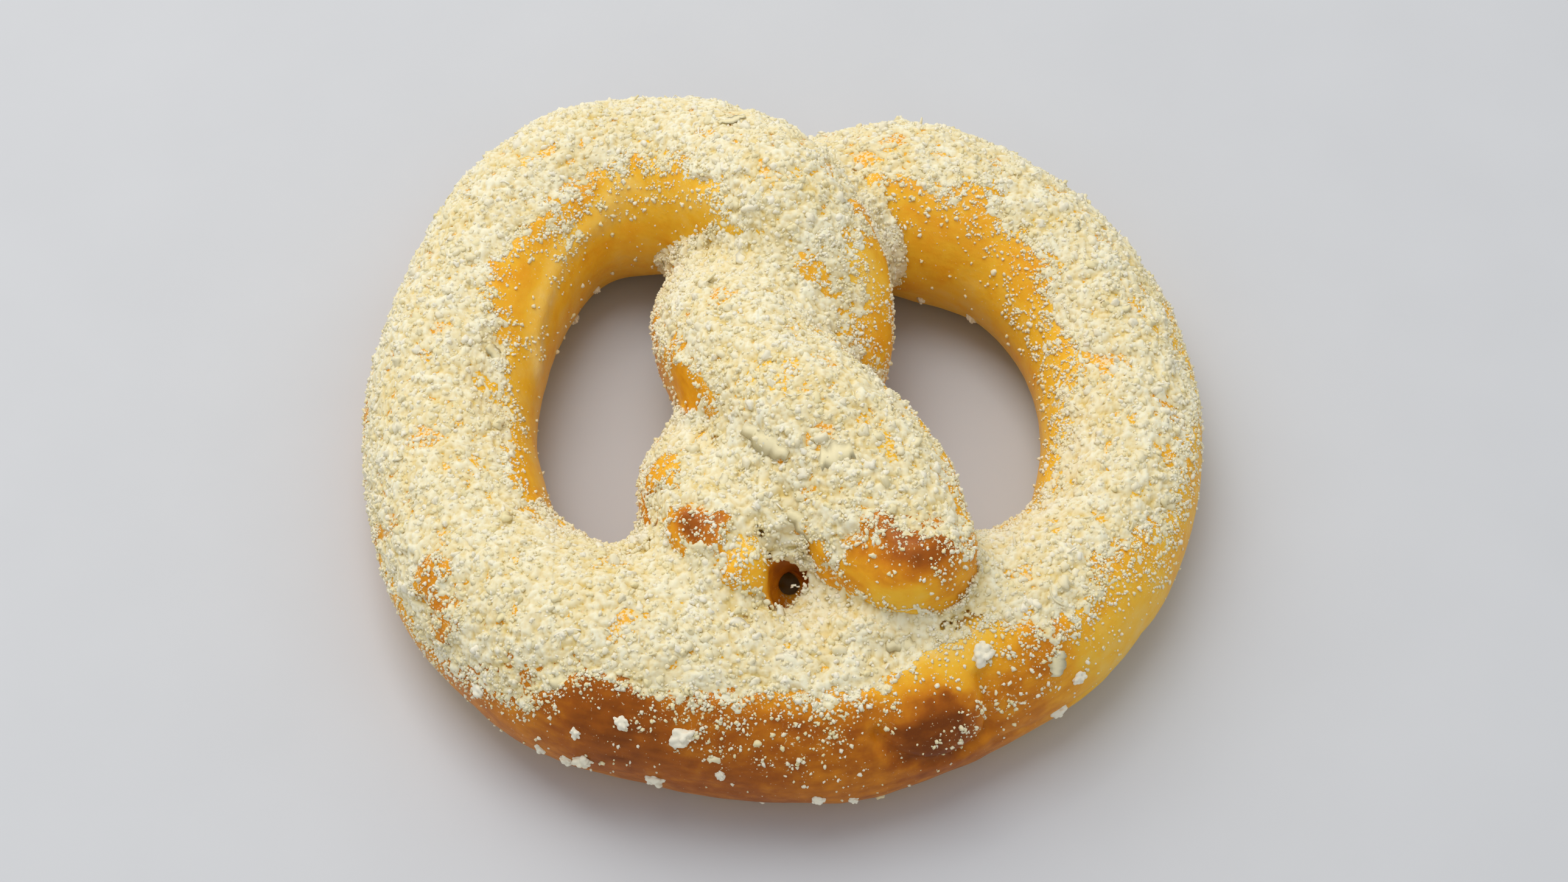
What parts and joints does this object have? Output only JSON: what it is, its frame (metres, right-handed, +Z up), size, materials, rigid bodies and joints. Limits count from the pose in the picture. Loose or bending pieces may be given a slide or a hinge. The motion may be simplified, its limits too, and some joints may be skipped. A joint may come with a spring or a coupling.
{
  "type": "soft pretzel",
  "caption": "Hand-twisted soft pretzel with a golden crust under a thick dusting of finely grated cheese, to serve, display or hang by a loop.",
  "frame": {"origin": "centre of the footprint, on the surface that the pretzel rests on", "axes": "+Z up, -Y towards the belly at the front, +X to the right as seen from the front"},
  "size_m": [0.1501, 0.1443, 0.048],
  "materials": {
    "crust": "baked wheat crust, egg-washed, golden brown, with a soft gloss",
    "cheese": "finely grated hard cheese, pale cream, matt"
  },
  "bodies": {
    "root": {"pretzel": "crust"}
  },
  "joints": []
}
